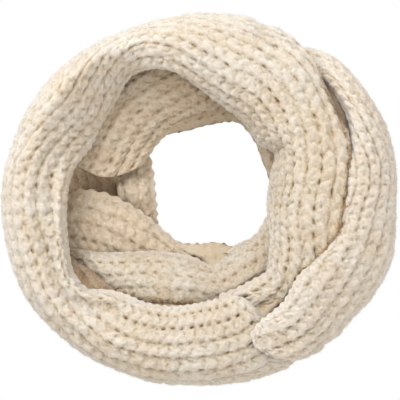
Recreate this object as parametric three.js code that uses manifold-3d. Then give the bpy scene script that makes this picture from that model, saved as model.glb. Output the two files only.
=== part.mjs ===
// A chunky rib-knit infinity scarf, wound twice into a ring and laid down flat.
// Millimetres, +Z up. The origin is the middle of the underside, and +Y is the far side.
import * as THREE from 'three';
import { mergeVertices } from 'three/addons/utils/BufferGeometryUtils.js';
import Module from 'manifold-3d';

// Sizes of the knit
const CLOTH = 8; // thickness of the cloth, from its plain back to the bottom of its ribs
const WALE = 14; // one rib and the groove beside it
const RIB_RISE = 2.2; // how far a rib stands above its groove
const RIB_FLATTENED_BELOW = 12; // ribs fade out below this height, where the cloth rests
const SEAM_GAP = 0.3; // air between two pieces

// Sizes of the meshes
const STATION_STEP = 19; // length of cloth between two sections
const BACK_COLUMNS = 8; // points across the plain back of a piece
const BACK_SMOOTHING = 3; // how many fine points each way the plain back evens out
const FINE = 44; // fine points across one section
const SHORTEST_EDGE = 2.5;

// Heights of a standing side of the roll
const BELLY_Z = 46;
const HEEL = { in: 5, z: 13 };
const FOOT_IN = 26; // how far the cloth turns in below the roll

const IVORY = 0xe6dac4;

// A section's points run from the free inner edge, up over the roll and down to the other edge.
// Each is [distance from the middle, height], in the upright plane at an angle in degrees.
function onRing(at, [radius, height]) {
  const turn = THREE.MathUtils.degToRad(at);
  return new THREE.Vector3(radius * Math.cos(turn), radius * Math.sin(turn), height);
}

// A point on the quarter oval that leaves the crest level and comes down upright at the low end.
function overTheEdge(crest, low, share) {
  const turn = (share * Math.PI) / 2;
  return [
    crest[0] + (low[0] - crest[0]) * Math.sin(turn),
    crest[1] - (crest[1] - low[1]) * (1 - Math.cos(turn)),
  ];
}

// A section whose side stands on the floor, or one whose second edge ends at a hem higher up.
function ringSection({ at, lip, roll, dip, crest, side, turnIn = FOOT_IN, hem }) {
  const belly = [side, BELLY_Z];
  const rest = hem
    ? [0.35, 0.6, 0.8, 1].map((share) => overTheEdge(crest, hem, share))
    : [overTheEdge(crest, belly, 0.5), belly, [side - HEEL.in, HEEL.z], [side - turnIn, 0]];
  return [lip, roll, dip, crest, ...rest].map((point) => onRing(at, point));
}

// The long stretch: from the join, along the near side, up the left, over the far side, and
// down the right inside the last stretch. Angles fall as the cloth runs clockwise.
const LONG_STRETCH = [
  { at: 311, lip: [111, 51], roll: [118, 55], dip: [127, 57], crest: [137, 54], side: 145, turnIn: 9 },
  { at: 306, lip: [112, 56], roll: [119, 61], dip: [128, 63], crest: [138, 59], side: 149, turnIn: 14 },
  { at: 302, lip: [116, 69], roll: [122, 73], dip: [130, 73], crest: [140, 68], side: 155, turnIn: 20 },
  { at: 298, lip: [105, 80], roll: [111, 82], dip: [120, 81], crest: [134, 76], side: 159 },
  { at: 293, lip: [88, 80], roll: [95, 87], dip: [108, 87], crest: [130, 81], side: 158 },
  { at: 286, lip: [84, 80], roll: [91, 87], dip: [106, 89], crest: [129, 85], side: 157 },
  { at: 270, lip: [86, 78], roll: [93, 86], dip: [107, 90], crest: [130, 88], side: 155 },
  { at: 255, lip: [92, 78], roll: [99, 86], dip: [112, 90], crest: [132, 89], side: 157 },
  { at: 242, lip: [97, 78], roll: [104, 86], dip: [116, 89], crest: [137, 90], side: 159 },
  { at: 232, lip: [100, 76], roll: [108, 87], dip: [118, 86], crest: [141, 91], side: 162 },
  { at: 225, lip: [106, 74], roll: [115, 89], dip: [127, 85], crest: [144, 92], side: 163 },
  { at: 218, lip: [118, 72], roll: [126, 91], dip: [136, 86], crest: [149, 92], side: 165 },
  { at: 210, lip: [121, 72], roll: [129, 93], dip: [138, 87], crest: [151, 93], side: 167 },
  { at: 200, lip: [116, 72], roll: [124, 94], dip: [132, 87], crest: [149, 95], side: 167 },
  { at: 188, lip: [112, 72], roll: [119, 94], dip: [127, 88], crest: [148, 97], side: 166 },
  { at: 176, lip: [110, 72], roll: [116, 90], dip: [124, 88], crest: [147, 99], side: 166 },
  { at: 166, lip: [108, 66], roll: [114, 79], dip: [125, 87], crest: [147, 101], side: 164 },
  { at: 154, lip: [102, 60], roll: [110, 70], dip: [125, 86], crest: [147, 103], side: 162 },
  { at: 142, lip: [104, 58], roll: [111, 69], dip: [126, 87], crest: [147, 104], side: 160 },
  { at: 130, lip: [109, 60], roll: [116, 71], dip: [129, 89], crest: [146, 104], side: 158 },
  { at: 119, lip: [118, 72], roll: [122, 82], dip: [130, 94], crest: [143, 104], side: 155 },
  { at: 110, lip: [116, 83], roll: [120, 92], dip: [128, 99], crest: [140, 103], side: 154 },
  { at: 101, lip: [108, 82], roll: [112, 92], dip: [121, 99], crest: [136, 102], side: 154 },
  { at: 92, lip: [95, 76], roll: [100, 88], dip: [112, 98], crest: [131, 102], side: 156 },
  { at: 82, lip: [85, 69], roll: [90, 83], dip: [103, 97], crest: [126, 102], side: 157, turnIn: 20 },
  { at: 75, lip: [80, 62], roll: [85, 80], dip: [99, 96], crest: [123, 102], side: 158, turnIn: 10 },
  { at: 67, lip: [77, 58], roll: [82, 78], dip: [95, 95], crest: [120, 102], hem: [158, 24] },
  { at: 58, lip: [73, 54], roll: [78, 75], dip: [92, 95], crest: [118, 102], hem: [155, 64] },
  { at: 50, lip: [69, 50], roll: [75, 74], dip: [90, 96], crest: [115, 102], hem: [150, 74] },
  { at: 42, lip: [68, 48], roll: [74, 73], dip: [89, 97], crest: [111, 102], hem: [141, 78] },
  { at: 32, lip: [73, 50], roll: [77, 72], dip: [89, 97], crest: [108, 102], hem: [135, 79] },
  { at: 22, lip: [64, 46], roll: [70, 70], dip: [85, 97], crest: [104, 102], hem: [131, 79] },
  { at: 10, lip: [58, 44], roll: [65, 70], dip: [81, 98], crest: [101, 103], hem: [123, 80] },
  { at: -3, lip: [56, 44], roll: [64, 70], dip: [79, 98], crest: [98, 102], hem: [119, 80] },
  { at: -16, lip: [59, 48], roll: [66, 72], dip: [79, 97], crest: [96, 100], hem: [115, 80] },
  { at: -28, lip: [66, 56], roll: [71, 74], dip: [81, 92], crest: [94, 96], hem: [109, 78] },
  { at: -38, lip: [73, 62], roll: [78, 76], dip: [85, 88], crest: [94, 91], hem: [107, 75] },
  { at: -47, lip: [81, 66], roll: [85, 75], dip: [91, 82], crest: [98, 84], hem: [111, 72] },
  { at: -57, lip: [80, 66], roll: [85, 72], dip: [92, 76], crest: [99, 76], hem: [108, 63] },
  { at: -67, lip: [80, 65], roll: [84, 70], dip: [90, 72], crest: [96, 72], hem: [104, 61] },
  { at: -77, lip: [81, 65], roll: [85, 69], dip: [90, 70], crest: [95, 69], hem: [102, 60] },
];

// The pieces of the long stretch, with the angle that each starts at.
const LONG_PIECES = [
  { name: 'outer_near', from: 311 },
  { name: 'outer_left', from: 235 },
  { name: 'outer_far', from: 150 },
  { name: 'crossing_right', from: 64 },
];

// The last stretch: out from under the far side, down the right and back onto the join.
const LAST_STRETCH = [
  { at: 75, lip: [110, 60], roll: [116, 62], dip: [123, 62], crest: [131, 58], side: 140, turnIn: 8 },
  { at: 67, lip: [114, 59], roll: [120, 61], dip: [127, 61], crest: [134, 56], side: 143, turnIn: 9 },
  { at: 61, lip: [119, 59], roll: [125, 61], dip: [131, 60], crest: [137, 55], side: 145, turnIn: 12 },
  { at: 56, lip: [125, 59], roll: [131, 62], dip: [138, 62], crest: [145, 57], side: 155, turnIn: 16 },
  { at: 51, lip: [131, 59], roll: [137, 63], dip: [144, 65], crest: [150, 62], side: 161, turnIn: 21 },
  { at: 45, lip: [141, 64], roll: [146, 72], dip: [151, 74], crest: [154, 72], side: 165 },
  { at: 36, lip: [142, 72], roll: [146, 82], dip: [150, 84], crest: [154, 82], side: 166 },
  { at: 27, lip: [139, 80], roll: [143, 89], dip: [147, 91], crest: [152, 89], side: 167 },
  { at: 18, lip: [131, 86], roll: [135, 94], dip: [141, 96], crest: [150, 92], side: 167 },
  { at: 9, lip: [122, 92], roll: [126, 98], dip: [135, 99], crest: [149, 93], side: 166 },
  { at: -3, lip: [118, 94], roll: [122, 100], dip: [131, 101], crest: [147, 94], side: 165 },
  { at: -16, lip: [115, 95], roll: [119, 101], dip: [129, 101], crest: [147, 93], side: 168 },
  { at: -28, lip: [107, 95], roll: [112, 101], dip: [124, 101], crest: [145, 92], side: 166 },
  { at: -38, lip: [103, 94], roll: [108, 100], dip: [121, 101], crest: [143, 92], side: 162, turnIn: 20 },
  { at: -45, lip: [106, 94], roll: [111, 99], dip: [124, 100], crest: [142, 92], side: 162, turnIn: 9 },
  { at: -50, lip: [109, 94], roll: [114, 99], dip: [125, 99], crest: [141, 93], hem: [162, 24] },
  { at: -54, lip: [110, 94], roll: [115, 99], dip: [126, 99], crest: [140, 94], hem: [160, 56] },
  { at: -59, lip: [111, 94], roll: [116, 99], dip: [126, 99], crest: [138, 94], hem: [156, 77] },
  { at: -64, lip: [113, 95], roll: [118, 99], dip: [126, 99], crest: [134, 96], hem: [147, 86] },
  { at: -69, lip: [116, 96], roll: [120, 98], dip: [126, 98], crest: [131, 96], hem: [140, 91] },
];

// The stretches inside the ring cross it, so their sections are points [x, y, height], from
// the edge at the hole to the edge tucked under the roll.
const INNER_NEAR = [
  { rim: [59, -10, 22], brow: [64, -13, 32], top: [70, -18, 37], outer: [79, -25, 39], tuck: [87, -32, 37] },
  { rim: [46, -30, 30], brow: [51, -35, 42], top: [57, -42, 48], outer: [65, -50, 50], tuck: [73, -59, 47] },
  { rim: [29, -39, 32], brow: [34, -45, 46], top: [39, -53, 53], outer: [44, -62, 56], tuck: [50, -74, 50] },
  { rim: [11, -55, 40], brow: [13, -60, 50], top: [16, -67, 56], outer: [18, -75, 57], tuck: [22, -88, 46] },
  { rim: [-6, -48, 44], brow: [-8, -54, 54], top: [-10, -62, 62], outer: [-11, -74, 65], tuck: [-12, -88, 56] },
  { rim: [-38, -43, 46], brow: [-39, -48, 57], top: [-41, -57, 65], outer: [-43, -71, 67], tuck: [-45, -85, 56] },
  { rim: [-63, -44, 48], brow: [-64, -49, 57], top: [-66, -56, 63], outer: [-67, -66, 62], tuck: [-69, -77, 50] },
  { rim: [-84, -43, 48], brow: [-85, -47, 55], top: [-86, -52, 58], outer: [-87, -58, 56], tuck: [-88, -66, 44] },
  { rim: [-99, -37, 46], brow: [-101, -42, 50], top: [-103, -48, 50], outer: [-105, -54, 47], tuck: [-109, -62, 40] },
];
const INNER_BAND = [
  { rim: [5, -49, 20], brow: [4, -57, 27], tuck: [2, -67, 26] },
  { rim: [-12, -41, 26], brow: [-15, -49, 36], tuck: [-17, -61, 36] },
  { rim: [-31, -26, 26], brow: [-35, -37, 37], tuck: [-38, -53, 39] },
  { rim: [-49, -12, 34], brow: [-55, -28, 42], tuck: [-60, -52, 40] },
  { rim: [-74, 2, 37], brow: [-79, -20, 46], tuck: [-83, -50, 38] },
  { rim: [-96, 7, 39], brow: [-99, -18, 46], tuck: [-101, -47, 34] },
  { rim: [-115, 7, 36], brow: [-118, -18, 43], tuck: [-120, -44, 34] },
];
const INNER_FAR = [
  { rim: [-48, 31, 33], brow: [-63, 24, 42], top: [-81, 22, 46], outer: [-98, 29, 48], tuck: [-114, 38, 46] },
  { rim: [-35, 49, 29], brow: [-54, 44, 40], top: [-74, 43, 46], outer: [-89, 50, 49], tuck: [-104, 59, 46] },
  { rim: [-19, 63, 30], brow: [-36, 67, 41], top: [-54, 74, 47], outer: [-69, 84, 50], tuck: [-81, 94, 48] },
  { rim: [3, 72, 34], brow: [-8, 83, 46], top: [-23, 94, 52], outer: [-38, 104, 55], tuck: [-50, 115, 52] },
  { rim: [24, 84, 38], brow: [16, 96, 50], top: [5, 107, 57], outer: [-6, 118, 60], tuck: [-14, 128, 58] },
];
const INNER_LEFT = [
  { rim: [-38, -20, 17], brow: [-48, -22, 20], tuck: [-62, -23, 18] },
  { rim: [-38, -7, 21], brow: [-49, -7, 27], tuck: [-65, -8, 23] },
  { rim: [-39, 8, 24], brow: [-51, 8, 33], tuck: [-68, 8, 29] },
  { rim: [-41, 23, 20], brow: [-53, 23, 26], tuck: [-69, 23, 22] },
  { rim: [-45, 42, 18], brow: [-56, 42, 22], tuck: [-70, 42, 19] },
];

// The heap of hidden layers: the hole's radius, three points of its top, and the side.
const HIDDEN_LAYERS = [
  { at: 0, hole: 63, inner: [72, 66], mid: [92, 97], top: [122, 94], side: 165 },
  { at: 30, hole: 62, inner: [76, 40], mid: [95, 96], top: [118, 90], side: 167 },
  { at: 50, hole: 69, inner: [84, 70], mid: [102, 96], top: [118, 90], side: 161 },
  { at: 64, hole: 73, inner: [88, 74], mid: [106, 92], top: [124, 90], side: 147 },
  { at: 80, hole: 66, inner: [86, 42], mid: [107, 54], top: [134, 80], side: 157 },
  { at: 100, hole: 60, inner: [84, 40], mid: [106, 54], top: [134, 84], side: 154 },
  { at: 120, hole: 62, inner: [80, 38], mid: [104, 48], top: [134, 84], side: 155 },
  { at: 140, hole: 60, inner: [76, 38], mid: [100, 46], top: [134, 80], side: 160 },
  { at: 160, hole: 52, inner: [66, 34], mid: [96, 44], top: [134, 78], side: 163 },
  { at: 175, hole: 43, inner: [60, 24], mid: [96, 30], top: [130, 76], side: 166 },
  { at: 190, hole: 43, inner: [60, 28], mid: [96, 40], top: [130, 76], side: 166 },
  { at: 210, hole: 42, inner: [62, 34], mid: [98, 50], top: [134, 78], side: 167 },
  { at: 230, hole: 41, inner: [62, 38], mid: [92, 58], top: [130, 82], side: 161 },
  { at: 250, hole: 39, inner: [58, 40], mid: [84, 62], top: [120, 84], side: 157 },
  { at: 270, hole: 37, inner: [56, 44], mid: [82, 60], top: [118, 84], side: 155 },
  { at: 290, hole: 38, inner: [60, 46], mid: [84, 56], top: [116, 80], side: 158 },
  { at: 305, hole: 48, inner: [62, 46], mid: [90, 64], top: [120, 84], side: 149 },
  { at: 317, hole: 56, inner: [66, 48], mid: [92, 74], top: [124, 88], side: 160 },
  { at: 335, hole: 62, inner: [68, 50], mid: [90, 86], top: [122, 92], side: 168 },
];
const LAYER_STATIONS = 40;
// The heap's layered edge at the hole, and its side: each point is [distance in from it, height].
const LAYER_EDGE = [[4, 0], [0, 9], [3.5, 17], [1, 25], [9, 34]];
const LAYER_SIDE = [[12, 66], [4, 46], [7, 12], [20, 0]];
// Air that the heap leaves over, under and beside the cloth that lies in it
const ROOM = { above: 6, below: 0.7, around: 1.5 };

// Fine sections of a stretch, one for each station along it, as rows of points.
function fineSections(rows) {
  const lines = rows[0].map((_, column) => {
    const points = rows.map((row) => row[column]);
    return new THREE.CatmullRomCurve3(points, false, 'centripetal');
  });
  const middle = lines[Math.floor(lines.length / 2)];
  const stations = Math.max(3, Math.round(middle.getLength() / STATION_STEP));
  return Array.from({ length: stations + 1 }, (_, station) => {
    const along = middle.getUtoTmapping(station / stations);
    const guides = lines.map((line) => line.getPoint(along));
    const section = new THREE.CatmullRomCurve3(guides, false, 'centripetal').getSpacedPoints(FINE);
    section.forEach((point) => (point.z = Math.max(point.z, 0)));
    return section;
  });
}

// Outward directions of a face given as rows of points.
function outward(face) {
  return face.map((row, station) =>
    row.map((_, column) => {
      const ahead = face[Math.min(station + 1, face.length - 1)][column];
      const behind = face[Math.max(station - 1, 0)][column];
      const across = row[Math.min(column + 1, row.length - 1)].clone();
      across.sub(row[Math.max(column - 1, 0)]);
      return new THREE.Vector3().subVectors(ahead, behind).cross(across).normalize();
    }),
  );
}

// A row of points evened out, with its two ends kept.
function evenedOut(row, reach) {
  return row.map((_, column) => {
    const room = Math.min(reach, column, row.length - 1 - column);
    const near = row.slice(column - room, column + room + 1);
    return near.reduce((sum, point) => sum.add(point), new THREE.Vector3()).divideScalar(near.length);
  });
}

// The point at a share of a row whose points are evenly spaced.
function atShare(row, share) {
  const place = Math.min(Math.max(share, 0), 1) * (row.length - 1);
  const low = Math.min(Math.floor(place), row.length - 2);
  return row[low].clone().lerp(row[low + 1], place - low);
}

// The cloth's two faces: a ribbed one, and a plain one below it. Ribs run along the cloth at
// equal steps from the first edge, so a narrower section holds fewer of them.
function clothFaces(fine) {
  const directions = outward(fine);
  const lengths = fine.map((row) => row[0].distanceTo(row[1]) * FINE);
  const step = WALE / 2;
  const columns = Math.ceil(Math.max(...lengths) / step);
  const ribbed = fine.map((row, station) =>
    Array.from({ length: columns + 1 }, (_, column) => {
      const reach = column * step;
      const ends = column === columns || reach > lengths[station] - SHORTEST_EDGE;
      const share = ends ? 1 : reach / lengths[station];
      const point = atShare(row, share);
      const lying = THREE.MathUtils.smoothstep(point.z, 0, RIB_FLATTENED_BELOW);
      const rise = column % 2 === 1 && !ends ? RIB_RISE * lying : 0;
      return point.addScaledVector(atShare(directions[station], share).normalize(), rise);
    }),
  );
  return { ribbed, plain: backFace(fine, CLOTH) };
}

// The plain face, a distance below the fine sections, let out past its four edges if asked.
function backFace(fine, depth, around = 0) {
  const smooth = fine.map((row) => evenedOut(row, BACK_SMOOTHING));
  const directions = outward(smooth);
  const lastStation = smooth.length - 1;
  return smooth.map((row, station) =>
    Array.from({ length: BACK_COLUMNS + 1 }, (_, column) => {
      const share = column / BACK_COLUMNS;
      const place = atShare(row, share);
      const direction = atShare(directions[station], share).normalize();
      const point = place.clone().addScaledVector(direction, -depth);
      const awayFrom = (beside) =>
        point.addScaledVector(place.clone().sub(beside).normalize(), around);
      if (column === 0) awayFrom(row[1]);
      if (column === BACK_COLUMNS) awayFrom(row[FINE - 1]);
      if (station === 0) awayFrom(atShare(smooth[1], share));
      if (station === lastStation) awayFrom(atShare(smooth[lastStation - 1], share));
      return point;
    }),
  );
}

// A closed body between an outer and an inner face with the same number of stations.
function bodyBetween(outer, inner) {
  const points = [];
  const triangles = [];
  const numbered = (face) =>
    face.map((row) => row.map((point) => points.push(point.x, point.y, point.z) / 3 - 1));
  const top = numbered(outer);
  const under = numbered(inner);
  const quad = (a, b, c, d) => triangles.push([a, b, c], [a, c, d]);
  const skin = (face, facing) => {
    for (let station = 0; station + 1 < face.length; station += 1) {
      const [here, next] = [face[station], face[station + 1]];
      for (let column = 0; column + 1 < here.length; column += 1) {
        const corners = [here[column], next[column], next[column + 1], here[column + 1]];
        quad(...(facing ? corners : corners.reverse()));
      }
    }
  };
  skin(top, true);
  skin(under, false);
  for (let station = 0; station + 1 < top.length; station += 1) {
    const last = [top[station].at(-1), top[station + 1].at(-1)];
    const lastUnder = [under[station].at(-1), under[station + 1].at(-1)];
    quad(top[station][0], under[station][0], under[station + 1][0], top[station + 1][0]);
    quad(last[0], last[1], lastUnder[1], lastUnder[0]);
  }
  const capEnd = (row, rowUnder, facing) => {
    let [i, j] = [0, 0];
    while (i < row.length - 1 || j < rowUnder.length - 1) {
      const behind = i / row.length <= j / rowUnder.length;
      const onTop = j >= rowUnder.length - 1 || (i < row.length - 1 && behind);
      const triangle = [row[i], onTop ? row[i + 1] : rowUnder[j + 1], rowUnder[j]];
      triangles.push(facing ? triangle : triangle.reverse());
      if (onTop) i += 1;
      else j += 1;
    }
  };
  capEnd(top[0], under[0], true);
  capEnd(top.at(-1), under.at(-1), false);
  return closedGeometry(points, triangles.flat());
}

// A geometry with shared points, no collapsed triangles, and its faces pointing out.
function closedGeometry(points, triangles) {
  const loose = new THREE.BufferGeometry();
  loose.setAttribute('position', new THREE.Float32BufferAttribute(points, 3));
  loose.setIndex(triangles);
  const merged = mergeVertices(loose, 0.01);
  const kept = [];
  const corner = [0, 1, 2].map(() => new THREE.Vector3());
  let volume = 0;
  for (let first = 0; first < merged.index.count; first += 3) {
    const numbers = [0, 1, 2].map((offset) => merged.index.getX(first + offset));
    if (new Set(numbers).size < 3) continue;
    numbers.forEach((number, place) => {
      corner[place].fromBufferAttribute(merged.attributes.position, number);
    });
    volume += corner[0].dot(corner[1].clone().cross(corner[2]));
    kept.push(numbers);
  }
  merged.setIndex((volume < 0 ? kept.map((numbers) => numbers.reverse()) : kept).flat());
  return merged;
}

// One piece of a stretch, between two of its stations, with half the seam's gap at each cut.
function pieceOfCloth({ ribbed, plain }, first, last) {
  const cut = (face) => {
    const rows = face.slice(first, last + 1);
    const inset = (row, toward) =>
      row.map((point, column) => {
        const away = toward[column].clone().sub(point);
        return point.clone().addScaledVector(away.normalize(), SEAM_GAP / 2);
      });
    if (first > 0) rows[0] = inset(rows[0], rows[1]);
    if (last < face.length - 1) rows[rows.length - 1] = inset(rows.at(-1), rows.at(-2));
    return rows;
  };
  return bodyBetween(cut(ribbed), cut(plain));
}

// The room that a stretch of cloth takes, with the air around it, cut from what lies below.
function roomFor(fine) {
  const above = backFace(fine, -ROOM.above, ROOM.around);
  return bodyBetween(above, backFace(fine, CLOTH + ROOM.below, ROOM.around));
}

// The ring of hidden layers, with a nip between the layers around the hole and a flat underside.
function hiddenRing() {
  const rows = HIDDEN_LAYERS.map(({ at, hole, inner, mid, top, side }) =>
    [
      ...LAYER_EDGE.map(([reach, height]) => [hole + reach, height]),
      inner, mid, top,
      ...LAYER_SIDE.map(([reach, height]) => [side - reach, height]),
    ].map((point) => onRing(at, point)),
  );
  const lines = rows[0].map((_, column) => {
    const points = rows.map((row) => row[column]);
    return new THREE.CatmullRomCurve3(points, true, 'centripetal');
  });
  const points = [];
  const triangles = [];
  const width = lines.length;
  for (let station = 0; station < LAYER_STATIONS; station += 1) {
    lines.forEach((line) => points.push(...line.getPoint(station / LAYER_STATIONS).toArray()));
    for (let column = 0; column < width; column += 1) {
      const here = station * width;
      const next = ((station + 1) % LAYER_STATIONS) * width;
      const beside = (column + 1) % width;
      triangles.push(here + column, next + column, next + beside);
      triangles.push(here + column, next + beside, here + beside);
    }
  }
  return closedGeometry(points, triangles);
}

const wasm = await Module();
wasm.setup();

function toSolid(geometry) {
  const { position } = geometry.attributes;
  return new wasm.Manifold(new wasm.Mesh({
    numProp: 3,
    vertProperties: new Float32Array(position.array),
    triVerts: new Uint32Array(geometry.index.array),
  }));
}

// The largest body left of a geometry once others are cut from it.
function cutFree(geometry, removed) {
  let solid = toSolid(geometry);
  removed.forEach((body) => (solid = solid.subtract(toSolid(body))));
  const bodies = solid.decompose().sort((a, b) => b.volume() - a.volume());
  const mesh = bodies[0].getMesh();
  return closedGeometry(Array.from(mesh.vertProperties), Array.from(mesh.triVerts));
}

const knit = new THREE.MeshStandardMaterial({ color: IVORY, roughness: 0.95, metalness: 0 });
const scarf = new THREE.Group();

function add(name, geometry) {
  geometry.computeVertexNormals();
  const mesh = new THREE.Mesh(geometry, knit);
  mesh.name = name;
  scarf.add(mesh);
}

const pointRows = (table) =>
  table.map((row) => Object.values(row).map((point) => new THREE.Vector3(...point)));

const fineStretches = {
  long: fineSections(LONG_STRETCH.map(ringSection)),
  outer_right: fineSections(LAST_STRETCH.map(ringSection)),
  inner_near: fineSections(pointRows(INNER_NEAR)),
  inner_band: fineSections(pointRows(INNER_BAND)),
  inner_far: fineSections(pointRows(INNER_FAR)),
  inner_left: fineSections(pointRows(INNER_LEFT)),
};

// The long stretch is cut where it turns from one side of the ring to the next.
const { long, ...shorter } = fineStretches;
const angleOf = (row) => {
  const crest = row[Math.round(FINE / 3)];
  return (THREE.MathUtils.radToDeg(Math.atan2(crest.y, crest.x)) + 360) % 360;
};
const stationAt = (angle) => long.findIndex((row) => angleOf(row) <= angle);
const cuts = [0, ...LONG_PIECES.slice(1).map(({ from }) => stationAt(from)), long.length - 1];
const longFaces = clothFaces(long);
LONG_PIECES.forEach(({ name }, place) => {
  add(name, pieceOfCloth(longFaces, cuts[place], cuts[place + 1]));
});
Object.entries(shorter).forEach(([name, fine]) => {
  add(name, pieceOfCloth(clothFaces(fine), 0, fine.length - 1));
});
add('hidden_layers', cutFree(hiddenRing(), Object.values(fineStretches).map(roomFor)));

export default scarf;
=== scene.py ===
"""A chunky chenille infinity scarf, wound twice and laid down flat, seen from above.

The tables repeat the sections of the part's source, in millimetres: each point is
[distance from the middle, height] at an angle, or [x, y, height] for the inner coils.
rib is the distance from the middle of one rib of the knit, which the others lie beside, and
out is how far outside it the stitches keep their true length.
"""
import math

import bmesh
import bpy
import numpy as np
from mathutils.bvhtree import BVHTree
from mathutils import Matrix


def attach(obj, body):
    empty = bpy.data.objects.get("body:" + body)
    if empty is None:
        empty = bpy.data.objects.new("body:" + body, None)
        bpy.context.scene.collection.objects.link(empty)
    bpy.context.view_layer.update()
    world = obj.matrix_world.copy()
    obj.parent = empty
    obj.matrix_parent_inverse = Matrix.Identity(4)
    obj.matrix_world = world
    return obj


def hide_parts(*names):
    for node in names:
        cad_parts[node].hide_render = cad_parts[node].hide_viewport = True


MM = 0.001

# The knit, in millimetres
THICKNESS = 6.5
WALE = 13.0
COURSE = 10.0
LEG_OUT = 0.25  # a stitch's leg from the middle of its wale, in wales
LEG_HALF = (7.0, 3.9)  # half the length and half the width of a leg
LEG_HEIGHT = 2.2
LEG_FAVOUR = 0.17  # how much larger one of the two legs is
LEG_SLANT = math.radians(33)
LEG_TILT = 0.8
GROOVE = (1.0, 0.75)  # depth and half the width of the groove between two wales
SWAY = 1.7  # how far the groove swings from stitch to stitch
DIMPLE = (2.6, 2.7, 1.1)  # depth, and half the size along and across
DIMPLE_SLANT = math.radians(24)
LUMPS = ((5.6, 0.75), (2.9, 0.7), (1.5, 0.45))  # size and height of the yarn's unevenness
SELVEDGE = (4.5, 1.4)  # how far the plain free edge reaches in, and its height
BEAD = 0.9  # how far each stitch swells the free edge
SWELL = 1.2  # slow rise and fall of the cloth
SINK = 1.9  # how far the knit's ground lies below the sections' curves
FLAT_BELOW = 12  # the knit fades out below this height, where it rests

# How open to light the cloth is, painted into its colour as shade: 0 for the brown painted shade of a pit, 1 for
# the palest crown
MIDDLE_TONE = 0.75
EDGE_SHADE = (0.75, 0.5, 0.2, 0.05, 0)  # round an edge, from the outer face to the back
BACK_SHADE = 0.15
TUCKED_SHADE = (0.92, 7.5)  # share lost at an edge that is tucked under, and how far in
END_SHADE = 0.75  # share lost at an end that runs under another stretch

# A standing side of the roll
BELLY_Z = 46
HEEL = (5, 13)
FOOT_IN = 26

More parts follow.
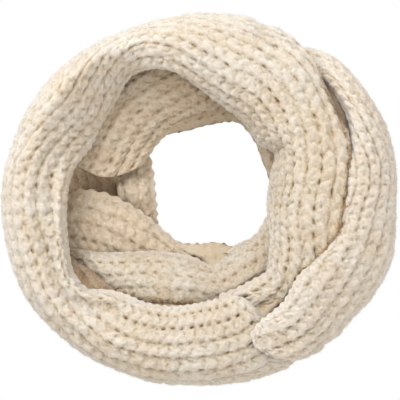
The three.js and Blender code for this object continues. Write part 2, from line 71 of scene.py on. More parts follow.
LONG_STRETCH = [
    dict(at=311, rib=131, lip=(111, 51), roll=(118, 55), dip=(127, 57), crest=(137, 54), side=145, turn_in=9),
    dict(at=306, rib=131, lip=(112, 56), roll=(119, 61), dip=(128, 63), crest=(138, 59), side=149, turn_in=14),
    dict(at=302, rib=130, lip=(116, 69), roll=(122, 73), dip=(130, 73), crest=(140, 68), side=155, turn_in=20),
    dict(at=298, rib=129, lip=(105, 80), roll=(111, 82), dip=(120, 81), crest=(134, 76), side=159),
    dict(at=293, rib=128, lip=(88, 80), roll=(95, 87), dip=(108, 87), crest=(130, 81), side=158),
    dict(at=286, rib=128.5, lip=(84, 80), roll=(91, 87), dip=(106, 89), crest=(129, 85), side=157),
    dict(at=270, rib=130, lip=(86, 78), roll=(93, 86), dip=(107, 90), crest=(130, 88), side=155),
    dict(at=255, rib=138, lip=(92, 78), roll=(99, 86), dip=(112, 90), crest=(132, 89), side=157),
    dict(at=242, rib=140, lip=(97, 78), roll=(104, 86), dip=(116, 89), crest=(137, 90), side=159),
    dict(at=232, rib=139.5, lip=(100, 76), roll=(108, 87), dip=(118, 86), crest=(141, 91), side=162),
    dict(at=225, rib=139, lip=(106, 74), roll=(115, 89), dip=(127, 85), crest=(144, 92), side=163),
    dict(at=218, rib=138, lip=(118, 72), roll=(126, 91), dip=(136, 86), crest=(149, 92), side=165),
    dict(at=210, rib=136, lip=(121, 72), roll=(129, 93), dip=(138, 87), crest=(151, 93), side=167),
    dict(at=200, rib=133.5, lip=(116, 72), roll=(124, 94), dip=(132, 87), crest=(149, 95), side=167),
    dict(at=188, rib=135, lip=(112, 72), roll=(119, 94), dip=(127, 88), crest=(148, 97), side=166),
    dict(at=176, rib=135.5, lip=(110, 72), roll=(116, 90), dip=(124, 88), crest=(147, 99), side=166),
    dict(at=166, rib=133, lip=(108, 66), roll=(114, 79), dip=(125, 87), crest=(147, 101), side=164),
    dict(at=154, rib=125, lip=(102, 60), roll=(110, 70), dip=(125, 86), crest=(147, 103), side=162),
    dict(at=142, rib=118, lip=(104, 58), roll=(111, 69), dip=(126, 87), crest=(147, 104), side=160),
    dict(at=130, rib=128, lip=(109, 60), roll=(116, 71), dip=(129, 89), crest=(146, 104), side=158),
    dict(at=119, rib=137, lip=(118, 72), roll=(122, 82), dip=(130, 94), crest=(143, 104), side=155),
    dict(at=110, rib=137, lip=(116, 83), roll=(120, 92), dip=(128, 99), crest=(140, 103), side=154),
    dict(at=101, rib=127, lip=(108, 82), roll=(112, 92), dip=(121, 99), crest=(136, 102), side=154),
    dict(at=92, rib=115, lip=(95, 76), roll=(100, 88), dip=(112, 98), crest=(131, 102), side=156),
    dict(at=82, rib=105.5, lip=(85, 69), roll=(90, 83), dip=(103, 97), crest=(126, 102), side=157, turn_in=20),
    dict(at=75, rib=101, out=4, lip=(80, 62), roll=(85, 80), dip=(99, 96), crest=(123, 102), side=158, turn_in=10),
    dict(at=67, rib=100, out=9, lip=(77, 58), roll=(82, 78), dip=(95, 95), crest=(120, 102), hem=(158, 24)),
    dict(at=58, rib=96, out=15, lip=(73, 54), roll=(78, 75), dip=(92, 95), crest=(118, 102), hem=(155, 64)),
    dict(at=50, rib=91, out=20, lip=(69, 50), roll=(75, 74), dip=(90, 96), crest=(115, 102), hem=(150, 74)),
    dict(at=42, rib=87, out=25, lip=(68, 48), roll=(74, 73), dip=(89, 97), crest=(111, 102), hem=(141, 78)),
    dict(at=32, rib=81, out=25, lip=(73, 50), roll=(77, 72), dip=(89, 97), crest=(108, 102), hem=(134, 84)),
    dict(at=22, rib=77, out=25, lip=(64, 46), roll=(70, 70), dip=(85, 97), crest=(104, 102), hem=(134, 88)),
    dict(at=10, rib=71, out=25, lip=(58, 44), roll=(65, 70), dip=(81, 98), crest=(101, 103), hem=(126, 95)),
    dict(at=-3, rib=67, out=25, lip=(56, 44), roll=(64, 70), dip=(79, 98), crest=(98, 102), hem=(122, 97)),
    dict(at=-16, rib=69, out=25, lip=(59, 48), roll=(66, 72), dip=(79, 97), crest=(96, 100), hem=(118, 96)),
    dict(at=-28, rib=75, out=25, lip=(66, 56), roll=(71, 74), dip=(81, 92), crest=(94, 96), hem=(110, 91)),
    dict(at=-38, rib=81, out=25, lip=(73, 62), roll=(78, 76), dip=(85, 88), crest=(94, 91), hem=(106, 86)),
    dict(at=-47, rib=87, out=18, lip=(81, 66), roll=(85, 75), dip=(91, 82), crest=(98, 84), hem=(111, 72)),
    dict(at=-57, rib=87, out=12, lip=(80, 66), roll=(85, 72), dip=(92, 76), crest=(99, 76), hem=(108, 63)),
    dict(at=-67, rib=87, out=12, lip=(80, 65), roll=(84, 70), dip=(90, 72), crest=(96, 72), hem=(104, 61)),
    dict(at=-77, rib=87, out=12, lip=(81, 65), roll=(85, 69), dip=(90, 70), crest=(95, 69), hem=(102, 60)),
]
LAST_STRETCH = [
    dict(at=75, rib=125, lip=(110, 60), roll=(116, 62), dip=(123, 62), crest=(131, 58), side=140, turn_in=8),
    dict(at=67, rib=129, lip=(114, 59), roll=(120, 61), dip=(127, 61), crest=(134, 56), side=143, turn_in=9),
    dict(at=61, rib=135, lip=(119, 59), roll=(125, 61), dip=(131, 60), crest=(137, 55), side=145, turn_in=12),
    dict(at=56, rib=141, lip=(125, 59), roll=(131, 62), dip=(138, 62), crest=(145, 57), side=155, turn_in=16),
    dict(at=51, rib=146, lip=(131, 59), roll=(137, 63), dip=(144, 65), crest=(150, 62), side=161, turn_in=21),
    dict(at=45, rib=150, lip=(141, 64), roll=(146, 72), dip=(151, 74), crest=(154, 72), side=165),
    dict(at=36, rib=150, lip=(142, 72), roll=(146, 82), dip=(150, 84), crest=(154, 82), side=166),
    dict(at=27, rib=151, lip=(139, 80), roll=(143, 89), dip=(147, 91), crest=(152, 89), side=167),
    dict(at=18, rib=154, lip=(131, 86), roll=(135, 94), dip=(141, 96), crest=(150, 92), side=167),
    dict(at=9, rib=155.5, lip=(122, 92), roll=(126, 98), dip=(135, 99), crest=(149, 93), side=166),
    dict(at=-3, rib=146, lip=(118, 94), roll=(122, 100), dip=(131, 101), crest=(147, 94), side=165),
    dict(at=-16, rib=141, lip=(115, 95), roll=(119, 101), dip=(129, 101), crest=(147, 93), side=168),
    dict(at=-28, rib=140, lip=(107, 95), roll=(112, 101), dip=(124, 101), crest=(145, 92), side=166),
    dict(at=-38, rib=139, lip=(103, 94), roll=(108, 100), dip=(121, 101), crest=(143, 92), side=162, turn_in=20),
    dict(at=-45, rib=139, lip=(106, 94), roll=(111, 99), dip=(124, 100), crest=(142, 92), side=162, turn_in=9),
    dict(at=-50, rib=140, lip=(109, 94), roll=(114, 99), dip=(125, 99), crest=(141, 93), hem=(162, 24)),
    dict(at=-54, rib=141, lip=(110, 94), roll=(115, 99), dip=(126, 99), crest=(140, 94), hem=(160, 56)),
    dict(at=-59, rib=141, lip=(111, 94), roll=(116, 99), dip=(126, 99), crest=(138, 94), hem=(156, 77)),
    dict(at=-64, rib=140, lip=(113, 93), roll=(118, 97), dip=(126, 97), crest=(133, 95), hem=(146, 86)),
    dict(at=-69, rib=138, lip=(119, 88), roll=(122, 90), dip=(126, 90), crest=(129, 89), hem=(133, 86)),
]
INNER_NEAR = [
    dict(rim=(59, -10, 22), brow=(64, -13, 32), top=(70, -18, 37), outer=(79, -25, 39), tuck=(87, -32, 37)),
    dict(rim=(46, -30, 30), brow=(51, -35, 42), top=(57, -42, 48), outer=(65, -50, 50), tuck=(73, -59, 47)),
    dict(rim=(29, -39, 32), brow=(34, -45, 46), top=(39, -53, 53), outer=(44, -62, 56), tuck=(50, -74, 50)),
    dict(rim=(11, -55, 40), brow=(13, -60, 50), top=(16, -67, 56), outer=(18, -76, 58), tuck=(22, -89, 52)),
    dict(rim=(-6, -48, 44), brow=(-8, -54, 54), top=(-10, -62, 62), outer=(-11, -75, 66), tuck=(-12, -89, 62)),
    dict(rim=(-38, -43, 46), brow=(-39, -48, 57), top=(-41, -57, 65), outer=(-43, -72, 68), tuck=(-46, -87, 63)),
    dict(rim=(-63, -44, 48), brow=(-64, -49, 57), top=(-66, -56, 63), outer=(-67, -69, 64), tuck=(-70, -80, 59)),
    dict(rim=(-84, -44, 48), brow=(-85, -47, 56), top=(-86, -53, 60), outer=(-87, -60, 58), tuck=(-88, -67, 48)),
    dict(rim=(-98, -42, 45), brow=(-99, -44, 50), top=(-100, -48, 51), outer=(-101, -52, 48), tuck=(-102, -57, 41)),
    dict(
        rim=(-112, -40, 42), brow=(-113, -42, 44), top=(-114, -44, 44), outer=(-115, -47, 41), tuck=(-116, -50, 37)
    ),
]
INNER_BAND = [
    dict(rim=(5, -49, 20), brow=(4, -57, 27), tuck=(2, -67, 26)),
    dict(rim=(-12, -41, 26), brow=(-15, -49, 36), tuck=(-17, -61, 36)),
    dict(rim=(-31, -26, 26), brow=(-35, -37, 37), tuck=(-38, -53, 39)),
    dict(rim=(-49, -12, 34), brow=(-55, -28, 42), tuck=(-60, -52, 40)),
    dict(rim=(-74, 2, 37), brow=(-79, -20, 46), tuck=(-83, -50, 42)),
    dict(rim=(-96, 7, 39), brow=(-99, -18, 46), tuck=(-101, -47, 41)),
    dict(rim=(-115, 7, 36), brow=(-118, -18, 43), tuck=(-120, -44, 39)),
]
INNER_FAR = [
    dict(rim=(-48, 31, 33), brow=(-63, 24, 42), top=(-81, 22, 46), outer=(-98, 29, 48), tuck=(-114, 38, 46)),
    dict(rim=(-35, 49, 29), brow=(-54, 44, 40), top=(-74, 43, 46), outer=(-89, 50, 49), tuck=(-104, 59, 46)),
    dict(rim=(-19, 63, 30), brow=(-36, 67, 41), top=(-54, 74, 47), outer=(-69, 84, 50), tuck=(-81, 94, 48)),
    dict(rim=(3, 72, 34), brow=(-8, 83, 46), top=(-23, 94, 52), outer=(-38, 104, 55), tuck=(-50, 115, 52)),
    dict(rim=(24, 84, 38), brow=(16, 96, 50), top=(5, 107, 57), outer=(-6, 118, 60), tuck=(-14, 128, 58)),
]
INNER_LEFT = [
    dict(rim=(-38, -20, 17), brow=(-48, -22, 20), tuck=(-62, -23, 18)),
    dict(rim=(-38, -7, 21), brow=(-49, -7, 27), tuck=(-65, -8, 23)),
    dict(rim=(-39, 8, 24), brow=(-51, 8, 33), tuck=(-68, 8, 29)),
    dict(rim=(-41, 23, 20), brow=(-53, 23, 26), tuck=(-69, 23, 22)),
    dict(rim=(-45, 42, 18), brow=(-56, 42, 22), tuck=(-70, 42, 19)),
]
HIDDEN_LAYERS = [
    dict(at=0, hole=63, inner=(72, 66), mid=(92, 97), top=(122, 94), side=165),
    dict(at=30, hole=62, inner=(76, 40), mid=(95, 96), top=(118, 90), side=167),
    dict(at=50, hole=69, inner=(84, 70), mid=(102, 96), top=(118, 90), side=161),
    dict(at=64, hole=73, inner=(88, 74), mid=(106, 92), top=(124, 90), side=147),
    dict(at=80, hole=66, inner=(86, 42), mid=(107, 54), top=(134, 80), side=157),
    dict(at=100, hole=60, inner=(84, 40), mid=(106, 54), top=(134, 84), side=154),
    dict(at=120, hole=62, inner=(80, 38), mid=(104, 48), top=(134, 84), side=155),
    dict(at=140, hole=60, inner=(76, 38), mid=(100, 46), top=(134, 80), side=160),
    dict(at=160, hole=52, inner=(66, 34), mid=(96, 44), top=(134, 78), side=163),
    dict(at=175, hole=43, inner=(60, 24), mid=(96, 30), top=(130, 76), side=166),
    dict(at=190, hole=43, inner=(60, 28), mid=(96, 40), top=(130, 76), side=166),
    dict(at=210, hole=42, inner=(62, 34), mid=(98, 50), top=(134, 78), side=167),
    dict(at=230, hole=41, inner=(62, 38), mid=(92, 58), top=(130, 82), side=161),
    dict(at=250, hole=39, inner=(58, 40), mid=(84, 62), top=(120, 84), side=157),
    dict(at=270, hole=37, inner=(56, 44), mid=(82, 60), top=(118, 84), side=155),
    dict(at=290, hole=38, inner=(60, 46), mid=(84, 56), top=(116, 80), side=158),
    dict(at=305, hole=48, inner=(62, 46), mid=(90, 64), top=(120, 84), side=149),
    dict(at=317, hole=56, inner=(66, 48), mid=(92, 74), top=(124, 88), side=160),
    dict(at=335, hole=62, inner=(68, 50), mid=(90, 86), top=(122, 92), side=168),
]

# The heap of hidden layers: its edge at the hole, and its side, as [distance in, height].
LAYER_EDGE = [(4, 0), (0, 9), (3.5, 17), (1, 25), (9, 34)]
LAYER_SIDE = [(22, 66), (16, 46), (18, 12), (30, 0)]


# Painted shade and light on the heap, as (angle, share of its openness to light): away from the hole,
# darker in the pocket and the crevice and lighter from 275 to 320 degrees; at its rim, lighter on the lobe
HEAP_SHADE_AND_LIGHT = [
    (0, 0.6), (50, 0.6), (70, 0.7), (150, 0.7), (165, 0.5), (250, 0.4), (275, 1.3), (320, 1.3), (350, 0.6)
]
RIM_LIGHT = [(215, 1), (240, 1.5), (285, 1.5), (300, 1)]


# Curves


def catmull(points, shares, closed=False):
    """Points at shares of centripetal Catmull-Rom curves. points is (count, curves, 3)."""
    count = len(points)
    spans = count if closed else count - 1
    place = np.clip(shares, 0, 1) * spans
    first = np.minimum(np.floor(place).astype(int), spans - 1)
    w = (place - first)[:, None, None]
    if closed:
        p = points[(first[:, None] + np.arange(-1, 3)) % count]
    else:
        before = 2 * points[:1] - points[1:2]
        after = 2 * points[-1:] - points[-2:-1]
        p = np.concatenate([before, points, after])[first[:, None] + np.arange(4)]
    p0, p1, p2, p3 = (p[:, k] for k in range(4))

    def knot(a, b):
        return np.maximum(np.sum((a - b) ** 2, axis=-1, keepdims=True) ** 0.25, 1e-4)

    d0, d1, d2 = knot(p0, p1), knot(p1, p2), knot(p2, p3)
    t1 = ((p1 - p0) / d0 - (p2 - p0) / (d0 + d1) + (p2 - p1) / d1) * d1
    t2 = ((p2 - p1) / d1 - (p3 - p1) / (d1 + d2) + (p3 - p2) / d2) * d1
    square = -3 * p1 + 3 * p2 - 2 * t1 - t2
    cube = 2 * p1 - 2 * p2 + t1 + t2
    return p1 + t1 * w + square * w**2 + cube * w**3


def run_length(points):
    """Length along axis 0 up to each point."""
    steps = np.linalg.norm(np.diff(points, axis=0), axis=-1)
    return np.concatenate([np.zeros((1,) + steps.shape[1:]), np.cumsum(steps, axis=0)])


def on_ring(at, point):
    turn = math.radians(at)
    return (point[0] * math.cos(turn), point[0] * math.sin(turn), point[1])


def over_the_edge(crest, low, share):
    turn = share * math.pi / 2
    return (
        crest[0] + (low[0] - crest[0]) * math.sin(turn),
        crest[1] - (crest[1] - low[1]) * (1 - math.cos(turn)),
    )


def ring_section(row):
    """A section of an outer stretch, from its free inner edge to the other edge."""
    crest = row["crest"]
    if "hem" in row:
        rest = [over_the_edge(crest, row["hem"], share) for share in (0.35, 0.6, 0.8, 1)]
    else:
        side = row["side"]
        belly = (side, BELLY_Z)
        heel = (side - HEEL[0], HEEL[1])
        foot = (side - row.get("turn_in", FOOT_IN), 0)
        rest = [over_the_edge(crest, belly, 0.5), belly, heel, foot]
    points = [row["lip"], row["roll"], row["dip"], crest, *rest]
    return [on_ring(row["at"], point) for point in points]


def surface(sections, step, shares, closed=False):
    """A stretch as a grid of points, with the distance along and across of each."""
    guides = np.array(sections, dtype=float)
    dense = catmull(guides, np.linspace(0, 1, 40 * len(guides)), closed)
    middle = run_length(dense[:, guides.shape[1] // 2])
    count = int(round(middle[-1] / step)) + 1
    along = np.linspace(0, middle[-1], count)
    place = np.interp(along, middle, np.linspace(0, 1, len(middle)))
    lines = catmull(guides, place, closed)
    fine = catmull(lines.transpose(1, 0, 2), np.linspace(0, 1, 24 * guides.shape[1]))
    reach = run_length(fine)
    across = shares[None, :] * reach[-1][:, None]
    points = np.empty((count, len(shares), 3))
    for station in range(count):
        for axis in range(3):
            points[station, :, axis] = np.interp(across[station], reach[:, station], fine[:, station, axis])
    ridge = reach[int(len(reach) * min(3, guides.shape[1] // 2) / (guides.shape[1] - 1)) - 1]
    return points, np.repeat(along[:, None], len(shares), axis=1), across, ridge, place


def spread(*spans):
    """Shares from 0 to 1: each span is (share at its end, number of steps)."""
    shares = [0.0]
    for end, steps in spans:
        start = shares[-1]
        shares += [start + (end - start) * (k + 1) / steps for k in range(steps)]
    return np.array(shares)


def evened(points, reach, axis):
    """Points averaged with their neighbours along one axis, with the two ends kept."""
    count = points.shape[axis]
    moved = np.moveaxis(points, axis, 0)
    total = np.concatenate([np.zeros_like(moved[:1]), np.cumsum(moved, axis=0)])
    here = np.arange(count)
    room = np.minimum(reach, np.minimum(here, count - 1 - here))
    width = (2 * room + 1).reshape((count,) + (1,) * (moved.ndim - 1))
    return np.moveaxis((total[here + room + 1] - total[here - room]) / width, 0, axis)


def outward(points, reach_along, reach_across):
    smooth = evened(evened(points, reach_along, 0), reach_across, 1)
    along = np.gradient(smooth, axis=0)
    across = np.gradient(smooth, axis=1)
    normal = np.cross(along, across)
    return normal / np.maximum(np.linalg.norm(normal, axis=-1, keepdims=True), 1e-9)


def along_ribs(points, s, rows, place, step):
    """The knit's own distances along and across, from one rib whose radius the rows give.

    The distance along is counted on a line that lies out from that rib, where the rows say so.
    """
    share = place * (len(rows) - 1)
    radius = np.interp(share, np.arange(len(rows)), [row["rib"] for row in rows])
    lean = np.interp(share, np.arange(len(rows)), [leaning(row["at"]) for row in rows])
    outer = np.maximum.accumulate(np.hypot(points[..., 0], points[..., 1]), axis=1)
    line = np.array([np.interp(radius[k], outer[k], s[k]) for k in range(len(points))])
    line = evened(evened(line, int(14 / step), 0), int(8 / step), 0)
    out = line + np.interp(share, np.arange(len(rows)), [row.get("out", 0) for row in rows])
    rib = np.array([[np.interp(out[k], s[k], points[k, :, axis]) for axis in range(3)] for k in range(len(points))])
    run = run_length(evened(rib, int(10 / step), 0)[:, None])[:, 0]
    shape = (1, s.shape[1])
    return np.tile(run[:, None], shape), s - line[:, None], np.tile(lean[:, None], shape)


def leaning(at):
    """Which leg of a stitch is the larger, -1 to 1, at an angle of the ring."""
    return float(np.interp(at, (-10, 30, 100, 170), (1, -1, -1, 1)))


# Knit


def scatter(i, j, seed):
    """A repeatable number from -1 to 1 for each pair of whole numbers."""
    n = (i * 374761393 + j * 668265263 + seed * 1442695041) & 0xFFFFFFFF
    n = ((n ^ (n >> 13)) * 1274126177) & 0xFFFFFFFF
    n = n ^ (n >> 16)
    return n / 0x7FFFFFFF - 1


def ripple(x, y, seed):
    """Smooth noise from -1 to 1 with a cell of 1."""
    i = np.floor(x).astype(np.int64)
    j = np.floor(y).astype(np.int64)
    fx, fy = x - i, y - j
    fx, fy = fx * fx * (3 - 2 * fx), fy * fy * (3 - 2 * fy)
    low = scatter(i, j, seed) * (1 - fx) + scatter(i + 1, j, seed) * fx
    high = scatter(i, j + 1, seed) * (1 - fx) + scatter(i + 1, j + 1, seed) * fx
    return low * (1 - fy) + high * fy


def knit(u, s, seed, lean=1.0):
    """Height of the knit over its ground in mm, and how open it is: 0 in a pit, 1 on a leg.

    u runs along the ribs and s across. lean says which leg of a stitch is the larger. The openness is painted
    shade: low in pits and grooves.
    """
    u = u + 2.4 * ripple(u / 38, s / 30, seed) + 0.9 * ripple(u / 11, s / 9, seed + 1)
    s = s + 2.0 * ripple(u / 46, s / 40, seed + 2) + 0.7 * ripple(u / 12, s / 10, seed + 3)
    wale = np.floor(s / WALE).astype(np.int64)
    course = np.floor(u / COURSE).astype(np.int64)
    height = np.zeros_like(u)
    for step, side in ((0, -1), (0, 1), (-1, 1), (1, -1)):
        column = wale + step
        size = 1 + LEG_FAVOUR * side * lean
        for ahead in (-1, 0, 1):
            row = course + ahead
            leg = column * 2 + (side > 0)
            du = u - (row + 0.5) * COURSE - 0.8 * scatter(leg, row, seed + 4)
            ds = s - (column + 0.5 + side * LEG_OUT) * WALE - 0.5 * scatter(leg, row, seed + 5)
            slant = LEG_SLANT + 0.14 * scatter(leg, row, seed + 6)
            p = (du * np.cos(slant) + side * ds * np.sin(slant)) / (LEG_HALF[0] * size)
            q = (-du * np.sin(slant) * side + ds * np.cos(slant)) / (LEG_HALF[1] * size)
            body = np.maximum(1 - p**4 - q * q, 0) ** 0.45
            plump = LEG_HEIGHT * size * (1 + 0.2 * scatter(leg, row, seed + 7))
            height = np.maximum(height, np.where(body > 0, plump * body - LEG_TILT * p, 0))
    full = height / LEG_HEIGHT
    edge = np.round(s / WALE)
    odd = edge.astype(np.int64)
    between = u / COURSE - 0.3 * scatter(odd, odd, seed + 8)
    near = (between - np.round(between)) * COURSE
    beside = s - edge * WALE + SWAY * 2 * lean * (between - np.round(between))
    groove = np.exp(-((beside / GROOVE[1]) ** 2))
    turned = near * np.cos(DIMPLE_SLANT * lean) + beside * np.sin(DIMPLE_SLANT * lean)
    aside = beside * np.cos(DIMPLE_SLANT * lean) - near * np.sin(DIMPLE_SLANT * lean)
    pit = np.exp(-((turned / DIMPLE[1]) ** 2) - (aside / DIMPLE[2]) ** 2)
    pit *= 0.7 + 0.5 * scatter(np.round(between).astype(np.int64), odd, seed + 12)
    height -= GROOVE[0] * groove + DIMPLE[0] * pit
    # Painted shade: the tone drops in the pits and grooves between stitches, where shade falls.
    openness = 0.5 + 0.34 * full - 0.7 * pit - 0.12 * groove
    for number, (size, rise) in enumerate(LUMPS):
        lump = ripple(u / size, s / size * 1.15, seed + 13 + number)
        height += rise * lump
        openness += 0.05 * lump
    return height, np.clip(openness, 0, 1)


# Meshes


def grid_object(name, points, values, ends_open, weld_rows=False):
    """A closed object from a grid of points that comes back to its first column."""
    rows, columns = points.shape[:2]
    bm = bmesh.new()
    bmesh.ops.create_grid(bm, x_segments=columns - 1, y_segments=rows - 1, size=1)
    mesh = bpy.data.meshes.new(name)
    bm.to_mesh(mesh)
    bm.free()
    flat = np.empty(len(mesh.vertices) * 3)
    mesh.vertices.foreach_get("co", flat)
    flat = flat.reshape(-1, 3)
    column = np.rint((flat[:, 0] + 1) / 2 * (columns - 1)).astype(int)
    row = np.rint((flat[:, 1] + 1) / 2 * (rows - 1)).astype(int)
    mesh.vertices.foreach_set("co", (points[row, column] * MM).ravel())
    open_to_light = mesh.attributes.new("openness", "FLOAT", "POINT")
    open_to_light.data.foreach_set("value", values[row, column].ravel())
    seam = set(np.flatnonzero((column == 0) | (column == columns - 1)).tolist())
    if weld_rows:
        seam |= set(np.flatnonzero((row == 0) | (row == rows - 1)).tolist())
    bm = bmesh.new()
    bm.from_mesh(mesh)
    bm.verts.ensure_lookup_table()
    bmesh.ops.remove_doubles(bm, verts=[bm.verts[k] for k in seam], dist=1e-7)
    if ends_open:
        rim = [edge for edge in bm.edges if edge.is_boundary]
        bmesh.ops.holes_fill(bm, edges=rim, sides=0)
    bmesh.ops.recalc_face_normals(bm, faces=bm.faces)
    for face in bm.faces:
        face.smooth = True
    bm.to_mesh(mesh)
    bm.free()
    piece = bpy.data.objects.new(name, mesh)
    bpy.context.scene.collection.objects.link(piece)
    return piece


def rounded(points, normal, aside, turns):
    """Rows of points round an edge, from the outer face to the back."""
    radius = THICKNESS / 2
    rows = []
    for turn in turns:
        out = radius * math.sin(turn)
        down = radius * (1 - math.cos(turn))
        rows.append(points + aside * out - normal * down)
    return rows


def unit(vectors):
    return vectors / np.maximum(np.linalg.norm(vectors, axis=-1, keepdims=True), 1e-9)


def degrees_round(points):
    """The angle of each point round the ring."""
    return np.degrees(np.arctan2(points[..., 1], points[..., 0])) % 360


def toned(openness, points, u, s, stretch):
    """How open to light each point is, with the stretch's own shades and its edges."""
    openness = MIDDLE_TONE + (openness - MIDDLE_TONE) * stretch["relief"]
    # Painted shade: the stretch's shade list darkens its tone at angles of the ring where less light falls.
    openness += np.interp(degrees_round(points), *zip(*stretch.get("shade", [(0, 0)])))
    # Painted light: the colour is paler along the plain free edge, where it catches the light.
    openness += (0.95 - openness) * 0.7 * np.exp(-((s / SELVEDGE[0]) ** 2))
    # Painted shade: darker towards the far edge, where it is tucked under.
    if stretch.get("tucked", True):
        openness *= 1 - TUCKED_SHADE[0] * np.exp(-(((s[:, -1:] - s) / TUCKED_SHADE[1]) ** 4))
    # Painted shade: darker along the last end, which lies in shadow under another stretch.
    fade = stretch.get("fade", 0)
    if fade:
        openness *= 1 - END_SHADE * np.clip((u - u[-1] + fade) / fade, 0, 1)
    return openness


def rounded_end(wall, middle, away):
    """Rows that close an end of the wall, round the middle of its thickness."""
    rows = []
    for turn in (0.4, 0.8, 1.2):
        row = middle + (wall - middle) * math.cos(turn)
        rows.append(row + away * THICKNESS / 2 * math.sin(turn))
    return np.array(rows)


def cloth(stretch):
    """A stretch of cloth as a closed wall: knitted outside, rounded edges and a plain back."""
    name, rows, seed, step = (stretch[key] for key in ("name", "rows", "seed", "step"))
    shares, back, relief = (stretch[key] for key in ("shares", "back", "relief"))
    ringed = "rib" in rows[0]
    sections = [ring_section(row) if ringed else list(row.values()) for row in rows]
    points, u, s, ridge, place = surface(sections, step, shares)
    spacing = s[:, -1].mean() / (len(shares) - 1)
    even = max(1, int(round(3.5 / step)))
    normal = outward(points, even, max(1, int(round(3.5 / spacing))))
    broad = outward(points, even * 3, max(1, int(round(9 / spacing))))
    if ringed:
        run, across, lean = along_ribs(points, s, rows, place, step)
        height, openness = knit(run, across, seed, lean)
    else:
        kink = ridge - evened(ridge, int(round(55 / step)), 0)
        height, openness = knit(u, s - kink[:, None], seed)
    openness = toned(openness, points, u, s, stretch)
    height += (SELVEDGE[1] - height) * 0.6 * np.exp(-((s / SELVEDGE[0]) ** 2))
    lying = np.clip((points[..., 2] - 1) / FLAT_BELOW, 0, 1)
    rise = (height - SINK) * relief * lying + SWELL * ripple(u / 55, s / 45, seed + 20) * lying
    turns = [math.pi * k / 6 for k in range(1, 6)]
    picks = np.rint(np.linspace(0, len(shares) - 1, back)).astype(int)
    first, last = points[:, 0], points[:, -1]
    off_first = unit(first - points[:, 2])
    off_last = unit(last - points[:, -3])
    beads = BEAD * np.cos(2 * math.pi * u[:, :1] / COURSE)
    outer = points + normal * rise[..., None]
    lip = rounded(first, normal[:, 0], off_first, turns)
    lip = [row + off_first * beads for row in lip]
    hem = rounded(last, normal[:, -1], off_last, turns)
    outer[:, 0] = lip[0] * 0.4 + outer[:, 1] * 0.6
    inside = points[:, picks] - broad[:, picks] * THICKNESS
    loop = [outer] + [row[:, None] for row in hem] + [inside[:, ::-1]]
    loop += [row[:, None] for row in lip[::-1]] + [outer[:, :1]]
    whole = np.concatenate(loop, axis=1)
    whole[..., 2] = np.maximum(whole[..., 2], 0)
    # Painted shade: the plain back and the rounded edges get darker tones than the knit face.
    values = np.full(whole.shape[:2], BACK_SHADE)
    # Near the floor the tone goes to a plain 0.5, darker than the knit: painted shade where the cloth rests.
    values[:, : len(shares)] = openness * lying + 0.5 * (1 - lying)
    values[:, len(shares) : len(shares) + len(EDGE_SHADE)] = EDGE_SHADE
    values[:, -1 - len(EDGE_SHADE) : -1] = EDGE_SHADE[::-1]
    values[:, -1] = values[:, 0]
    ends = []
    for end, inner in ((0, 1), (-1, -2)):
        away = unit(points[end] - points[inner]).mean(axis=0)
        half = points[end] - normal[end] * THICKNESS / 2
        plain = points[end][picks] - broad[end][picks] * THICKNESS / 2
        middle = [half] + [half[-1:]] * len(turns) + [plain[::-1]] + [half[:1]] * (len(turns) + 1)
        ends.append(rounded_end(whole[end], np.concatenate(middle), away))
    whole = np.concatenate([ends[0][::-1], whole, ends[1]])
    whole[..., 2] = np.maximum(whole[..., 2], 0)
    values = np.concatenate([values[:1].repeat(3, 0), values, values[-1:].repeat(3, 0)])
    piece = grid_object(name, whole, values, ends_open=True)
    print(name, "flat", round(s[:, -1].mean()), round(u[-1, 0]), "triangles", 2 * len(piece.data.polygons))
    face = (points + normal * rise[..., None], normal, lying)
    return piece, inside, face


def fluff(name, face, count, seed, reach=(1.6, 3.4), width=0.36):
    """The pile of the chenille: short spikes that lie every way over a face of the cloth."""
    points, normal, lying = face
    random = np.random.default_rng(seed)
    cell = np.linalg.norm(
        np.cross(points[1:, :-1] - points[:-1, :-1], points[:-1, 1:] - points[:-1, :-1]), axis=-1
    )
    weight = (cell * lying[:-1, :-1]).ravel()
    picked = random.choice(weight.size, count, p=weight / weight.sum())
    i, j = np.divmod(picked, cell.shape[1])
    a, b = random.random((2, count, 1))
    place = points[i, j] + a * (points[i + 1, j] - points[i, j]) + b * (points[i, j + 1] - points[i, j])
    up = normal[i, j]
    lean = unit(random.normal(size=(count, 3)))
    way = unit(up * random.uniform(0.15, 0.9, (count, 1)) + unit(lean - up * np.sum(lean * up, -1, keepdims=True)))
    aside = unit(np.cross(way, up + 0.01))
    across = np.cross(way, aside)
    length = random.uniform(*reach, (count, 1))
    root = place - up * 0.5
    corners = [root + width * (aside * math.cos(t) + across * math.sin(t)) / 2 for t in (0, 2.1, 4.2)]
    verts = np.stack(corners + [place + way * length], axis=1).reshape(-1, 3) * MM
    verts[:, 2] = np.maximum(verts[:, 2], 0)
    base = np.arange(count)[:, None] * 4
    faces = np.concatenate([base + f for f in ((0, 1, 3), (1, 2, 3), (2, 0, 3), (0, 2, 1))], axis=1)
    mesh = bpy.data.meshes.new(name)
    mesh.from_pydata(verts.tolist(), [], faces.reshape(-1, 3).tolist())
    piece = bpy.data.objects.new(name, mesh)
    bpy.context.scene.collection.objects.link(piece)
    openness = mesh.attributes.new("openness", "FLOAT", "POINT")
    openness.data.foreach_set("value", np.full(count * 4, 0.8))
    return piece


